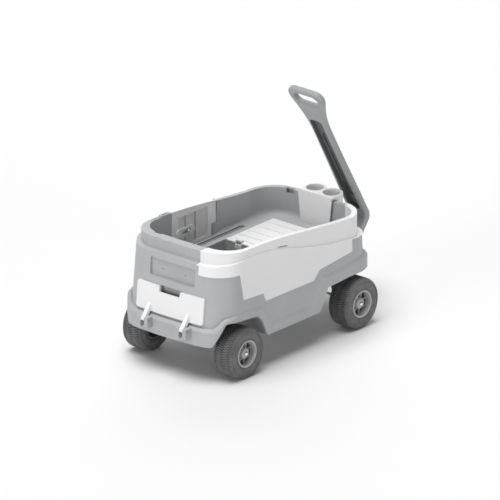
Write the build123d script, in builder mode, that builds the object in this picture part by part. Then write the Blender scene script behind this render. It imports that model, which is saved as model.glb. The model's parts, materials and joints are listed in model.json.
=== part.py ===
from build123d import *
import os

# Four-wheeled moulded pull wagon. Millimetres, +Z up, +X towards the handle, +Y to the door side.
# The origin lies on the ground under the middle of the bounding box.

# ---- driving dimensions -------------------------------------------------------------------------
MID = -73.5  # X of the middle of the wheelbase
HALF_BASE = 386.5  # wheelbase / 2
AXLE_Z = 115.0
REAR_X = MID - HALF_BASE
FRONT_X = MID + HALF_BASE

WALL = 6.0  # moulded wall thickness
BIN_WALL = 5.0
SPAN = 420.0  # half-width of a cutting slab, wider than the wagon

HULL_LOW_Z, HULL_HIGH_Z = 140.0, 560.0
HULL_LOW = (-531.0, 486.0, 290.0, 25.0)  # rear, front, half-width, end bulge
HULL_HIGH = (-498.0, 482.0, 283.0, 18.0)
BAND = (-480.0, 459.0, 278.0, 12.0)
CAVITY = (-435.0, 439.0, 259.0, 8.0)
SKIRT = (-555.0, 504.0, 296.0, 26.0)
CORNER = 130.0

# Side-view lines, X from the middle of the wheelbase, Z from the ground.
RIM_LINE = [(-560, 584), (-422, 581), (-261, 578), (0, 556), (261, 526), (560, 526)]
STEP_LINE = [(-560, 517), (-452, 533), (-335, 541), (-235, 536), (-65, 504), (135, 455), (270, 433),
             (339, 425), (560, 404)]
LOWER_EDGE = [(-600, 165), (-539, 168), (-495, 271), (-478, 275), (-296, 259), (-270, 235), (-235, 157),
              (-226, 150), (122, 150), (131, 161), (174, 246), (187, 251), (255, 253), (322, 257), (600, 257)]
UPPER_EDGE = [(-600, 250), (-540, 250), (-508, 288), (-492, 297), (-452, 303), (-376, 303), (-262, 298),
              (-248, 283), (-222, 238), (-198, 200), (61, 200), (74, 213), (100, 252), (141, 300), (154, 309),
              (261, 311), (376, 322), (600, 322)]
PANEL_FIELD = [(-403, 640), (-403, 482), (-383, 361), (-252, 352), (-235, 313), (87, 309), (122, 347),
               (139, 350), (346, 368), (344, 640)]

FLOOR_Z = 391.0
DECK_LOW_Z, DECK_STEP_Z = 366.0, 376.0
FOOTWELL = (-196.0, 50.0, 189.0, 163.0)  # rear, front, half-width, inner floor Z
STORAGE = (72.0, 354.0, 168.0, 270.0)
TRUNK = (-508.0, -300.0, 165.0, 290.0)
FIT = 0.3  # gap between mouldings that nest
KING_R, KING_HEAD_R = 8.0, 13.0
CARRIER_LOW_Z, CARRIER_TOP_Z = 187.0, 215.0
BOLSTER_LOW_Z, BOLSTER_TOP_Z = 222.0, 256.5
SCREW_R, SCREW_HEAD_R, SCREW_HEAD = 3.0, 6.5, 4.0


# ---- shared shapes ------------------------------------------------------------------------------
def from_mid(points):
    """Side-view points given from the middle of the wheelbase, moved to the part's frame."""
    return [(MID + x, z) for x, z in points]


def outline(plan, grow=0.0, corner=CORNER):
    """Plan view with rounded corners and gently bowed ends."""
    rear, front, half, bulge = plan
    rear, front, half = MID + rear - grow, MID + front + grow, half + grow
    with BuildSketch() as sketch:
        with BuildLine():
            Line((rear, -half), (front, -half))
            ThreePointArc((front, -half), (front + bulge, 0), (front, half))
            Line((front, half), (rear, half))
            ThreePointArc((rear, half), (rear - bulge, 0), (rear, -half))
        make_face()
        fillet(sketch.vertices(), corner + grow)
    return sketch.sketch


def rear_plane(x, z):
    """Sketch plane that faces backwards, with its second coordinate upwards."""
    return Plane((x, 0, z), x_dir=(0, -1, 0), z_dir=(-1, 0, 0))


def prism(plan, low, high, grow=0.0, corner=CORNER):
    """Upright solid on an outline."""
    with BuildPart() as solid:
        with BuildSketch(Plane.XY.offset(low)):
            add(outline(plan, grow, corner))
        extrude(amount=high - low)
    return solid.part


def hull(grow=0.0):
    """The body's tapering outer form, below the step in its walls."""
    with BuildPart() as solid:
        with BuildSketch(Plane.XY.offset(HULL_LOW_Z)):
            add(outline(HULL_LOW, grow))
        with BuildSketch(Plane.XY.offset(HULL_HIGH_Z)):
            add(outline(HULL_HIGH, grow))
        loft(ruled=True)
    return solid.part


def slab(points, half=SPAN):
    """Straight-sided side view drawn across the wagon's width."""
    with BuildPart() as solid:
        with BuildSketch(Plane.XZ):
            with BuildLine():
                Polyline(*from_mid(points), close=True)
            make_face()
        extrude(amount=half, both=True)
    return solid.part


def under_curve(points, drop=0.0):
    """Everything below a smooth side-view line."""
    curve = [(x, z - drop) for x, z in from_mid(points)]
    with BuildPart() as solid:
        with BuildSketch(Plane.XZ):
            with BuildLine():
                Spline(*curve)
                Polyline(curve[-1], (curve[-1][0], 0), (curve[0][0], 0), curve[0])
            make_face()
        extrude(amount=SPAN, both=True)
    return solid.part


def box_between(low, high):
    """Box from its lowest corner to its highest corner."""
    with BuildPart() as solid:
        with BuildSketch(Plane.XY.offset(low[2])):
            with Locations(((low[0] + high[0]) / 2, (low[1] + high[1]) / 2)):
                Rectangle(high[0] - low[0], high[1] - low[1])
        extrude(amount=high[2] - low[2])
    return solid.part


def body_block(grow=0.0, drop=0.0):
    """Solid form of the body: the hull up to the step, and the rim band above it."""
    with BuildPart() as lower:
        add(hull(grow))
        add(under_curve(STEP_LINE, drop), mode=Mode.INTERSECT)
    with BuildPart() as upper:
        add(prism(BAND, 380, 640, grow))
        add(under_curve(RIM_LINE, drop), mode=Mode.INTERSECT)
    with BuildPart() as block:
        add(lower.part)
        add(upper.part)
    return block.part


def disc(x, y, radius, low, high):
    """Upright round bar."""
    with BuildPart() as bar:
        with BuildSketch(Plane.XY.offset(low)):
            with Locations((x, y)):
                Circle(radius)
        extrude(amount=high - low)
    return bar.part


def rod(x, z, radius, y_low, y_high):
    """Round bar across the wagon."""
    with BuildPart() as bar:
        with BuildSketch(Plane.XZ.offset(-y_low)):
            with Locations((x, z)):
                Circle(radius)
        extrude(amount=y_low - y_high)
    return bar.part


def bolster_bolts(radius, low, high):
    """One stretch of the four screws that hold the steering bolster."""
    with BuildPart() as bolts:
        with BuildSketch(Plane.XY.offset(low)):
            with Locations((FRONT_X, 0)):
                with GridLocations(80, 150, 2, 2):
                    Circle(radius)
        extrude(amount=high - low)
    return bolts.part


ABOVE_EDGE = LOWER_EDGE + [(600, 700), (-600, 700)]


def save(name, label):
    """Label a finished piece and write it to its own file."""
    name.part.label = label
    export_step(name.part, "parts/" + label + ".step")


os.makedirs("parts", exist_ok=True)

# ---- white right-hand panel: rim band, rear corner strip and side field ---------------------------
PANEL_DEPTH = 3.0
PANEL_PROUD = 3.0
BORDER_REAR_Y, BORDER_FRONT_Y = -133.0, -141.0


def panel_zone():
    """Where the right-hand panel covers the outside of the body."""
    with BuildPart() as field:
        add(slab(PANEL_FIELD))
        add(box_between((-900, -400, 0), (900, -200, 700)), mode=Mode.INTERSECT)
    with BuildPart() as band:
        add(box_between((MID - 600, -400, 380), (MID, BORDER_REAR_Y, 700)))
        add(box_between((MID, -400, 380), (MID + 600, BORDER_FRONT_Y, 700)))
        add(under_curve(STEP_LINE), mode=Mode.SUBTRACT)
    with BuildPart() as zone:
        add(field.part)
        add(band.part)
        add(box_between((MID - 600, -400, 482), (MID - 380, BORDER_REAR_Y - 12, 560)))
    return zone.part


with BuildPart() as panel_room:
    add(body_block(PANEL_PROUD, -PANEL_PROUD))
    add(body_block(-PANEL_DEPTH, PANEL_DEPTH), mode=Mode.SUBTRACT)
    add(panel_zone(), mode=Mode.INTERSECT)
    add(prism(CAVITY, 300, 700, 0, 110), mode=Mode.SUBTRACT)

with BuildPart() as side_panel_right:
    add(panel_room.part)
    # dark drain slot in the band
    with BuildSketch(Plane.XZ):
        with Locations((MID - 113, 528)):
            SlotOverall(70, 5, rotation=-10)
    extrude(amount=SPAN, mode=Mode.SUBTRACT)
save(side_panel_right, "side_panel_right")

# ---- openings cut in the body -------------------------------------------------------------------
DOOR_REAR, DOOR_FRONT = MID - 212, MID + 52
DOOR_TOP_REAR, HINGE_X, HINGE_Y = MID - 226, MID + 70, 268.0
DOOR_STEP_Z = 446.0
HINGE_SEAT_R, HINGE_DISC_R = 12.5, 12.0
HINGE_SEAT_Z, HINGE_TOP_Z = 545.0, 553.0  # flat seat in the rim, and the top of the door's hinge disc
HINGE_RELIEF = (22.0, 482.0)  # length and top of the relief for the door's outer corner
CUP_X, CUP_Y, CUP_R, CUP_BORE_R = MID + 490, 47.0, 50.0, 39.0
CUP_TOP_Z = 539.0
PLATE_FACE_X = MID - 511
PLATE_HALF, PLATE_LOW_Z, PLATE_HIGH_Z = 127.0, 417.0, 502.0
PLATE_HOLE_Y, PLATE_HOLE_Z, PLATE_HOLE_R = 64.5, 456.0, 3.0
HATCH_HALF, HATCH_LOW_Z, HATCH_HIGH_Z = 189.0, 263.0, 384.0
HATCHWAY_TOP_Z = 356.0
POCKET_HALF, POCKET_FLOOR_X = 60.0, MID - 512
DOOR_GAP = 3.0
DOOR_PIN_R, KNUCKLE_R, DOOR_PIN_LOW_Z = 4.0, 9.0, 410.0
TAB_X, TAB_Z = MID - 134, 468.0
BOLT_Y, BOLT_W, BOLT_H, BOLT_GAP = 266.0, 8.0, 14.0, 0.3
LATCH_TRAVEL = 16.0
FLANGE_GAP, FLANGE_THICK = 0.4, 4.0
BOSS_REAR, BOSS_FRONT, BOSS_Y = MID - 291, MID - 229, 269.0


def door_opening():
    """Doorway in the left wall: narrow below, wider above, with a round seat for the hinge."""
    with BuildPart() as cut:
        add(box_between((DOOR_REAR, 240, FLOOR_Z), (DOOR_FRONT, 330, 700)))
        add(box_between((DOOR_TOP_REAR, 240, DOOR_STEP_Z), (HINGE_X, 330, 700)))
        add(disc(HINGE_X, HINGE_Y, HINGE_SEAT_R, DOOR_STEP_Z, 700))
        add(disc(HINGE_X, HINGE_Y, HINGE_DISC_R + 1.5, HINGE_SEAT_Z, 700))
        # the open door's outer corner swings into this relief
        add(box_between((HINGE_X, HINGE_Y, DOOR_STEP_Z), (HINGE_X + HINGE_RELIEF[0], 330, HINGE_RELIEF[1])))
    return cut.part


def cup_room(grow, low, high):
    """Two round cup bodies side by side."""
    with BuildPart() as cups:
        with BuildSketch(Plane.XY.offset(low)):
            with Locations((CUP_X, CUP_Y), (CUP_X, -CUP_Y)):
                Circle(CUP_R + grow)
        extrude(amount=high - low)
    return cups.part


def bolt_bar(rear, front, grow=0.0):
    """Latch bolt: a flat bar along X inside the door."""
    w, h = BOLT_W / 2 + grow, BOLT_H / 2 + grow
    return box_between((rear, BOLT_Y - w, TAB_Z - h), (front, BOLT_Y + w, TAB_Z + h))


def rim_layer(low, high):
    """Thin layer that follows the top of the rim."""
    with BuildPart() as layer:
        add(under_curve(RIM_LINE, -high))
        add(under_curve(RIM_LINE, -low), mode=Mode.SUBTRACT)
    return layer.part


# ---- body shell: hollow double wall, open below the deck ---------------------------------------------
with BuildPart() as wall_void:
    add(body_block(-WALL, WALL + 2))
    add(prism(CAVITY, DECK_STEP_Z, 700, WALL, 110), mode=Mode.SUBTRACT)
    # solid ends beside the doorway, the front cup seats and the rear plate
    add(box_between((DOOR_REAR - 92, 240, DECK_STEP_Z), (DOOR_REAR, 330, 700)), mode=Mode.SUBTRACT)
    add(box_between((DOOR_FRONT, 240, DECK_STEP_Z), (HINGE_X + 40, 330, 700)), mode=Mode.SUBTRACT)
    add(box_between((DOOR_REAR, 240, DECK_STEP_Z), (DOOR_FRONT, 330, FLOOR_Z)), mode=Mode.SUBTRACT)
    add(box_between((MID + 430, -104, DECK_STEP_Z), (MID + 520, 104, 700)), mode=Mode.SUBTRACT)
    add(box_between((MID - 540, -133, 408), (MID - 440, 133, 510)), mode=Mode.SUBTRACT)
    # and behind the hatch's finger pocket
    add(box_between((MID - 560, -POCKET_HALF - 8, HATCHWAY_TOP_Z),
                    (POCKET_FLOOR_X + 4, POCKET_HALF + 8, 396)), mode=Mode.SUBTRACT)

with BuildPart() as body_shell:
    add(body_block())
    add(prism(CAVITY, DECK_STEP_Z, 700, 0, 110), mode=Mode.SUBTRACT)
    add(slab(ABOVE_EDGE), mode=Mode.INTERSECT)
    add(wall_void.part, mode=Mode.SUBTRACT)
    add(panel_room.part, mode=Mode.SUBTRACT)
    add(door_opening(), mode=Mode.SUBTRACT)
    add(cup_room(FIT, 455, 700), mode=Mode.SUBTRACT)
    # hanging lip of the cup holder lies over the front wall
    add(box_between((MID + 430, -97 - FIT, 530), (CUP_X, 97 + FIT, 700)), mode=Mode.SUBTRACT)
    # hatch doorway and the finger pocket above it
    add(box_between((MID - 600, -TRUNK[2], TRUNK[3]), (MID - 480, TRUNK[2], HATCHWAY_TOP_Z)),
        mode=Mode.SUBTRACT)
    add(box_between((MID - 600, -POCKET_HALF, HATCHWAY_TOP_Z - 1),
                    (POCKET_FLOOR_X, POCKET_HALF, HATCH_HIGH_Z + 4)), mode=Mode.SUBTRACT)
    # blind bore for the door's hinge pin, and the socket for the latch bolt
    with BuildSketch(Plane.XY.offset(DOOR_PIN_LOW_Z)):
        with Locations((HINGE_X, HINGE_Y)):
            Circle(DOOR_PIN_R)
    extrude(amount=60, mode=Mode.SUBTRACT)
    add(bolt_bar(DOOR_TOP_REAR - LATCH_TRAVEL, DOOR_TOP_REAR + 1, BOLT_GAP), mode=Mode.SUBTRACT)
    # slots in the top of the left rim
    with BuildSketch(Plane.XY.offset(560)):
        with Locations(((BOSS_REAR + BOSS_FRONT) / 2, BOSS_Y)):
            SlotOverall(40, 9)
        with Locations((MID - 327, BOSS_Y)):
            SlotOverall(57, 4)
    extrude(amount=60, mode=Mode.SUBTRACT)
    # plate recess in the rear wall
    with BuildSketch(rear_plane(PLATE_FACE_X, (PLATE_LOW_Z + PLATE_HIGH_Z) / 2)):
        RectangleRounded(2 * PLATE_HALF, PLATE_HIGH_Z - PLATE_LOW_Z, 8)
    extrude(amount=60, mode=Mode.SUBTRACT)
    with BuildSketch(rear_plane(PLATE_FACE_X, PLATE_HOLE_Z)):
        with Locations((-PLATE_HOLE_Y, 0), (PLATE_HOLE_Y, 0)):
            Circle(PLATE_HOLE_R)
    extrude(amount=-14, mode=Mode.SUBTRACT)
    # pockets in the top of the end walls
    for side in (-1, 1):
        y_low, y_high = sorted((side * 130, side * 170))
        add(box_between((MID + 430, y_low, 496), (MID + 455, y_high, 560)), mode=Mode.SUBTRACT)
        add(box_between((MID - 448, y_low, 566), (MID - 430, y_high, 640)), mode=Mode.SUBTRACT)
save(body_shell, "body_shell")

# ---- cargo deck: stepped plate with openings for the footwell and the seat storage -------------------
LID_REAR, LID_FRONT, LID_HALF, LID_LOW_Z, LID_TOP_Z = MID + 51, MID + 370, 183.0, 381.0, 396.0
LID_PIN_X, LID_PIN_Z, LID_PIN_R, LID_KNUCKLE_R = MID + 60, 401.0, 2.5, 6.0
LID_HINGE_Y, LID_KNUCKLE_HALF, LID_EAR_THICK = 113.0, 12.0, 5.0
BRACKET_HALF = LID_KNUCKLE_HALF + LID_EAR_THICK + 0.5
BRACKET_THICK = 3.0


def lid_brackets(low, high):
    """Both hinge brackets' width, over a stretch of the side view between two corners."""
    with BuildPart() as pair:
        for y in (-LID_HINGE_Y, LID_HINGE_Y):
            add(box_between((low[0], y - BRACKET_HALF, low[1]), (high[0], y + BRACKET_HALF, high[1])))
    return pair.part


FOOTWELL_FRONT = MID + FOOTWELL[1]

with BuildPart() as cargo_deck:
    add(prism(CAVITY, DECK_LOW_Z, DECK_STEP_Z, 14, 110))
    add(prism(CAVITY, DECK_STEP_Z, FLOOR_Z, -FIT, 110))
    add(box_between((MID + FOOTWELL[0], -FOOTWELL[2], 300), (MID + FOOTWELL[1], FOOTWELL[2], 450)),
        mode=Mode.SUBTRACT)
    add(box_between((MID + STORAGE[0], -STORAGE[2], 300), (MID + STORAGE[1], STORAGE[2], 450)),
        mode=Mode.SUBTRACT)
    # ledge that carries the seat lid
    add(box_between((LID_REAR - 2, -LID_HALF - 2, LID_LOW_Z), (LID_FRONT + 2, LID_HALF + 2, 450)),
        mode=Mode.SUBTRACT)
    # drain grooves along both sides
    for side in (-1, 1):
        with BuildSketch(Plane.XY.offset(FLOOR_Z)):
            with Locations((MID - 37, side * 224)):
                SlotOverall(526, 12)
        extrude(amount=-10, mode=Mode.SUBTRACT)
    # notches for the lid hinges' front plates
    add(lid_brackets((FOOTWELL_FRONT - 1, DECK_LOW_Z - 1), (FOOTWELL_FRONT + BRACKET_THICK, LID_LOW_Z + 1)),
        mode=Mode.SUBTRACT)
save(cargo_deck, "cargo_deck")


def bin_between(plan, top):
    """Open-topped thin-walled bin: rear, front, half-width and inner floor height."""
    rear, front, half, floor = MID + plan[0], MID + plan[1], plan[2], plan[3]
    with BuildPart() as tub:
        add(box_between((rear - BIN_WALL, -half - BIN_WALL, floor - BIN_WALL),
                        (front + BIN_WALL, half + BIN_WALL, top)))
        fillet(tub.edges().filter_by(Axis.Z), 12)
        add(box_between((rear, -half, floor), (front, half, top + 1)), mode=Mode.SUBTRACT)
    return tub.part


with BuildPart() as footwell_bin:
    add(bin_between(FOOTWELL, DECK_LOW_Z))
save(footwell_bin, "footwell_bin")

with BuildPart() as storage_bin:
    add(bin_between(STORAGE, DECK_LOW_Z))
save(storage_bin, "storage_bin")

# rear trunk bin opens backwards, under the deck
with BuildPart() as trunk_bin:
    rear, front, half, floor = MID + TRUNK[0], MID + TRUNK[1], TRUNK[2], TRUNK[3]
    add(box_between((rear, -half - BIN_WALL, floor - BIN_WALL),
                    (front + BIN_WALL, half + BIN_WALL, DECK_LOW_Z)))
    add(box_between((rear - 1, -half, floor), (front, half, DECK_LOW_Z - BIN_WALL)), mode=Mode.SUBTRACT)
    add(hull(-WALL), mode=Mode.INTERSECT)
save(trunk_bin, "trunk_bin")

# ---- underpan: thin sheet that follows the wheel arches and the belly --------------------------------
with BuildPart() as above_sheet:
    with BuildSketch(Plane.XZ):
        with BuildLine():
            Polyline(*from_mid(ABOVE_EDGE), close=True)
        make_face()
        offset(amount=-WALL, kind=Kind.INTERSECTION)
    extrude(amount=SPAN, both=True)

with BuildPart() as underpan:
    add(hull(-WALL - FIT))
    add(slab(ABOVE_EDGE), mode=Mode.INTERSECT)
    add(above_sheet.part, mode=Mode.SUBTRACT)
    add(box_between((-900, -400, 0), (900, 400, 300)), mode=Mode.INTERSECT)
    add(disc(FRONT_X, 0, KING_R, 100, 300), mode=Mode.SUBTRACT)
    add(bolster_bolts(SCREW_R, BOLSTER_TOP_Z, 262), mode=Mode.SUBTRACT)
save(underpan, "underpan")

# ---- skirt: bumper band round the body, with ears for the hatch --------------------------------------
EAR_Y, EAR_SLOT, EAR_THICK = 109.0, 20.0, 20.0
PIN_X, PIN_Z = MID - 589, 235.0
HATCH_PIN_R = 4.0
ARM_THICK = 19.4

with BuildPart() as skirt:
    add(prism(SKIRT, 130, 340))
    add(slab(LOWER_EDGE + UPPER_EDGE[::-1]), mode=Mode.INTERSECT)
    add(hull(FIT), mode=Mode.SUBTRACT)
    for side in (-1, 1):
        for ear in (-1, 1):
            y = side * EAR_Y + ear * (EAR_SLOT + EAR_THICK) / 2
            with BuildSketch(Plane.XZ.offset(-y)):
                with BuildLine():
                    Polyline((PIN_X - 11, 246), (PIN_X + 40, 246), (PIN_X + 40, 196), (PIN_X - 5, 196),
                             (PIN_X - 11, 208), close=True)
                make_face()
            extrude(amount=EAR_THICK / 2, both=True)
    for side in (-1, 1):
        add(box_between((PIN_X - 20, side * EAR_Y - EAR_SLOT / 2, 216),
                        (PIN_X + 36, side * EAR_Y + EAR_SLOT / 2, 262)), mode=Mode.SUBTRACT)
    with BuildSketch(Plane.XZ):
        with Locations((PIN_X, PIN_Z)):
            Circle(HATCH_PIN_R)
    extrude(amount=160, both=True, mode=Mode.SUBTRACT)
save(skirt, "skirt")

# ---- rear hatch: curved drop-down door with two hinge arms -------------------------------------------
HATCH_GAP, HATCH_PROUD = 1.0, 11.0
with BuildPart() as rear_hatch:
    add(hull(HATCH_PROUD))
    add(hull(HATCH_GAP), mode=Mode.SUBTRACT)
    with BuildSketch(rear_plane(MID - 450, (HATCH_LOW_Z + HATCH_HIGH_Z) / 2)):
        RectangleRounded(2 * HATCH_HALF, HATCH_HIGH_Z - HATCH_LOW_Z, 9)
    extrude(amount=160, mode=Mode.INTERSECT)
    # finger notch in the top edge
    with BuildSketch(rear_plane(MID - 450, HATCH_HIGH_Z)):
        with BuildLine():
            Polyline((-61, 10), (-57, -26), (57, -26), (61, 10), close=True)
        make_face()
    extrude(amount=160, mode=Mode.SUBTRACT)
    # hinge arms, tapering down to an eye round each pin
    for side in (-1, 1):
        with BuildSketch(Plane.XZ.offset(-side * EAR_Y)):
            with BuildLine():
                Polyline((MID - 549, 300), (MID - 549, 266), (PIN_X + 7, PIN_Z - 3), (PIN_X - 8, PIN_Z),
                         close=True)
            make_face()
            with Locations((PIN_X, PIN_Z)):
                Circle(9)
        extrude(amount=ARM_THICK / 2, both=True)
    with BuildSketch(Plane.XZ):
        with Locations((PIN_X, PIN_Z)):
            Circle(HATCH_PIN_R + 0.06)
    extrude(amount=160, both=True, mode=Mode.SUBTRACT)
save(rear_hatch, "rear_hatch")

with BuildPart() as hatch_hinge_pins:
    for side in (-1, 1):
        with BuildSketch(Plane.XZ.offset(-side * EAR_Y)):
            with Locations((PIN_X, PIN_Z)):
                Circle(HATCH_PIN_R)
        extrude(amount=(EAR_SLOT + 2 * EAR_THICK) / 2, both=True)
save(hatch_hinge_pins, "hatch_hinge_pins")

# ---- side door: leaf, recessed boards, top flange, latch tab ------------------------------------------
def door_leaf():
    """Door outline through the wall's thickness, without the hinge end."""
    with BuildPart() as leaf:
        add(box_between((DOOR_REAR + DOOR_GAP, 220, FLOOR_Z + 1.5), (DOOR_FRONT - 9, 330, 640)))
        add(box_between((DOOR_TOP_REAR + DOOR_GAP, 220, DOOR_STEP_Z + 2), (HINGE_X - 12, 330, 640)))
        add(body_block(0, -1), mode=Mode.INTERSECT)
        add(prism(CAVITY, 300, 700, 0, 110), mode=Mode.SUBTRACT)
    return leaf.part


with BuildPart() as door_flange:
    with BuildSketch(Plane.XY.offset(500)):
        with Locations(((DOOR_TOP_REAR + HINGE_X) / 2, HINGE_Y + 1)):
            Rectangle(HINGE_X - DOOR_TOP_REAR, 24)
    extrude(amount=120)
    add(rim_layer(FLANGE_GAP, FLANGE_GAP + FLANGE_THICK), mode=Mode.INTERSECT)

with BuildPart() as side_door:
    add(door_leaf())
    add(door_flange.part)
    with BuildSketch(Plane.XY.offset(DOOR_STEP_Z + 2)):
        with Locations((HINGE_X, HINGE_Y)):
            Circle(KNUCKLE_R)
        with Locations((HINGE_X - 10, HINGE_Y)):
            Rectangle(20, 14)
    extrude(amount=HINGE_TOP_Z - DOOR_STEP_Z - 2)
    add(disc(HINGE_X, HINGE_Y, HINGE_DISC_R, HINGE_SEAT_Z + FLANGE_GAP, HINGE_TOP_Z))
    # recessed inner boards with two grooves between them
    with BuildSketch(Plane.XZ.offset(-262)):
        with Locations((MID - 80.5, 472)):
            RectangleRounded(195, 136, 10)
    extrude(amount=40, mode=Mode.SUBTRACT)
    for x in (-130, -63):
        add(box_between((MID + x - 2.5, 250, 404), (MID + x + 2.5, 266, 540)), mode=Mode.SUBTRACT)
    # capsule tab that carries the latch slider
    with BuildSketch(Plane.XZ.offset(-252)):
        with Locations((TAB_X, TAB_Z)):
            SlotOverall(120, 40)
    extrude(amount=-21)
    with BuildSketch(Plane.XZ.offset(-240)):
        with Locations((TAB_X, TAB_Z)):
            SlotOverall(60, 18)
    extrude(amount=-(BOLT_Y - BOLT_W / 2 - 240), mode=Mode.SUBTRACT)
    add(bolt_bar(DOOR_TOP_REAR - 5, TAB_X + 38, BOLT_GAP), mode=Mode.SUBTRACT)
    with BuildSketch(Plane.XY.offset(400)):
        with Locations((HINGE_X, HINGE_Y)):
            Circle(DOOR_PIN_R + 0.06)
    extrude(amount=200, mode=Mode.SUBTRACT)
save(side_door, "side_door")

with BuildPart() as door_hinge_pin:
    add(disc(HINGE_X, HINGE_Y, DOOR_PIN_R, DOOR_PIN_LOW_Z, HINGE_TOP_Z + 1))
    add(disc(HINGE_X, HINGE_Y, DOOR_PIN_R + 3, HINGE_TOP_Z + 0.4, HINGE_TOP_Z + 3))
    fillet(door_hinge_pin.edges().group_by(Axis.Z)[-1], 1.5)
save(door_hinge_pin, "door_hinge_pin")

KNOB_X = TAB_X + LATCH_TRAVEL / 2 + 7
with BuildPart() as door_latch_bolt:
    add(bolt_bar(DOOR_TOP_REAR + DOOR_GAP + 1, TAB_X + 22))
save(door_latch_bolt, "door_latch_bolt")

with BuildPart() as door_latch_knob:
    with BuildSketch(Plane.XZ.offset(-(BOLT_Y - BOLT_W / 2))):
        with Locations((KNOB_X, TAB_Z)):
            Circle(7)
    extrude(amount=16)
    fillet(door_latch_knob.edges().group_by(Axis.Y)[0], 2.5)
save(door_latch_knob, "door_latch_knob")

with BuildPart() as rim_socket:
    with BuildSketch(Plane.XY.offset(500)):
        with Locations(((BOSS_REAR + BOSS_FRONT) / 2, BOSS_Y)):
            RectangleRounded(BOSS_FRONT - BOSS_REAR, 22, 8)
            SlotOverall(38, 7, mode=Mode.SUBTRACT)
    extrude(amount=120)
    add(rim_layer(0, 5), mode=Mode.INTERSECT)
save(rim_socket, "rim_socket")

# ---- cup holder: two cups outside the front wall, an apron inside it -----------------------------------
CUP_DEPTH = 82.0
with BuildPart() as cup_holder:
    add(cup_room(0, CUP_TOP_Z - CUP_DEPTH, CUP_TOP_Z))
    add(box_between((MID + 433, -97, 530.5), (CUP_X, 97, CUP_TOP_Z)))
    with BuildSketch(rear_plane(MID + 438.5, FLOOR_Z)):
        with BuildLine():
            Polyline((-80, 1), (80, 1), (97, 148), (-97, 148), close=True)
        make_face()
    extrude(amount=6)
    with BuildSketch(Plane.XY.offset(CUP_TOP_Z - CUP_DEPTH + 6)):
        with Locations((CUP_X, CUP_Y), (CUP_X, -CUP_Y)):
            Circle(CUP_BORE_R)
    extrude(amount=CUP_DEPTH, mode=Mode.SUBTRACT)
save(cup_holder, "cup_holder")

# ---- seat lid: ribbed panel that flips up about its rear edge ------------------------------------------
GROOVES_X = (82, 132, 193, 256, 320)
GROOVE_HALF, GROOVE_HOOK, GROOVE_W = 150.0, 16.0, 4.0
LID_BEVEL = 7.5

with BuildPart() as seat_lid:
    add(box_between((LID_REAR, -LID_HALF, LID_LOW_Z + 0.3), (LID_FRONT, LID_HALF, LID_TOP_Z)))
    fillet(seat_lid.edges().filter_by(Axis.Z), 6)
    fillet(seat_lid.faces().sort_by(Axis.Z)[-1].edges(), 3)
    # the rear edge is cut back below, so that it clears the ledge as the lid lifts
    with BuildSketch(Plane.XZ):
        with BuildLine():
            Polyline((LID_REAR, LID_LOW_Z), (LID_REAR + LID_BEVEL, LID_LOW_Z),
                     (LID_REAR, LID_LOW_Z + LID_BEVEL), close=True)
        make_face()
    extrude(amount=LID_HALF + 1, both=True, mode=Mode.SUBTRACT)
    # underside is hollowed so that the edge turns down
    with BuildSketch(Plane.XY.offset(LID_LOW_Z)):
        with Locations(((LID_REAR + LID_FRONT) / 2 + 6, 0)):
            Rectangle(LID_FRONT - LID_REAR - 36, 2 * LID_HALF - 24)
    extrude(amount=8, mode=Mode.SUBTRACT)
    # grooves across the top, each hooked backwards at its left end
    for x in GROOVES_X:
        with BuildSketch(Plane.XY.offset(LID_TOP_Z)):
            with BuildLine():
                run = Line((MID + x, -GROOVE_HALF), (MID + x, GROOVE_HALF))
                JernArc(run @ 1, run % 1, GROOVE_HOOK, 90)
            trace(line_width=GROOVE_W)
        extrude(amount=-3, mode=Mode.SUBTRACT)
    for side in (-1, 1):
        y = side * LID_HINGE_Y
        reach = BRACKET_HALF + 1
        add(box_between((LID_REAR - 1, y - reach, LID_LOW_Z), (LID_PIN_X + 11, y + reach, LID_TOP_Z + 1)),
            mode=Mode.SUBTRACT)
        with BuildSketch(Plane.XZ.offset(-y)):
            with Locations((LID_PIN_X, LID_PIN_Z)):
                Circle(LID_KNUCKLE_R)
            with BuildLine():
                Polyline((LID_PIN_X, LID_PIN_Z + LID_KNUCKLE_R), (LID_PIN_X + 22, LID_TOP_Z),
                         (LID_PIN_X + 22, LID_TOP_Z - 6), (LID_PIN_X + 4, LID_PIN_Z - 9), close=True)
            make_face()
        extrude(amount=LID_KNUCKLE_HALF, both=True)
    with BuildSketch(Plane.XZ):
        with Locations((LID_PIN_X, LID_PIN_Z)):
            Circle(LID_PIN_R + 0.06)
    extrude(amount=150, both=True, mode=Mode.SUBTRACT)
save(seat_lid, "seat_lid")

with BuildPart() as lid_hinge_brackets:
    # angle over the front edge of the footwell
    add(lid_brackets((FOOTWELL_FRONT, DECK_LOW_Z), (FOOTWELL_FRONT + BRACKET_THICK, LID_LOW_Z + 1)))
    add(lid_brackets((FOOTWELL_FRONT, LID_LOW_Z), (FOOTWELL_FRONT + 20, LID_LOW_Z + BRACKET_THICK)))
    for side in (-1, 1):
        for ear in (-1, 1):
            y = side * LID_HINGE_Y + ear * (BRACKET_HALF - LID_EAR_THICK / 2)
            with BuildSketch(Plane.XZ.offset(-y)):
                with BuildLine():
                    Polyline((FOOTWELL_FRONT + 1, LID_LOW_Z), (LID_PIN_X + 9, LID_LOW_Z),
                             (LID_PIN_X + LID_KNUCKLE_R, LID_PIN_Z), (LID_PIN_X - LID_KNUCKLE_R, LID_PIN_Z),
                             close=True)
                make_face()
                with Locations((LID_PIN_X, LID_PIN_Z)):
                    Circle(LID_KNUCKLE_R)
            extrude(amount=LID_EAR_THICK / 2, both=True)
    add(rod(LID_PIN_X, LID_PIN_Z, LID_PIN_R, -150, 150), mode=Mode.SUBTRACT)
save(lid_hinge_brackets, "lid_hinge_brackets")

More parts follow.
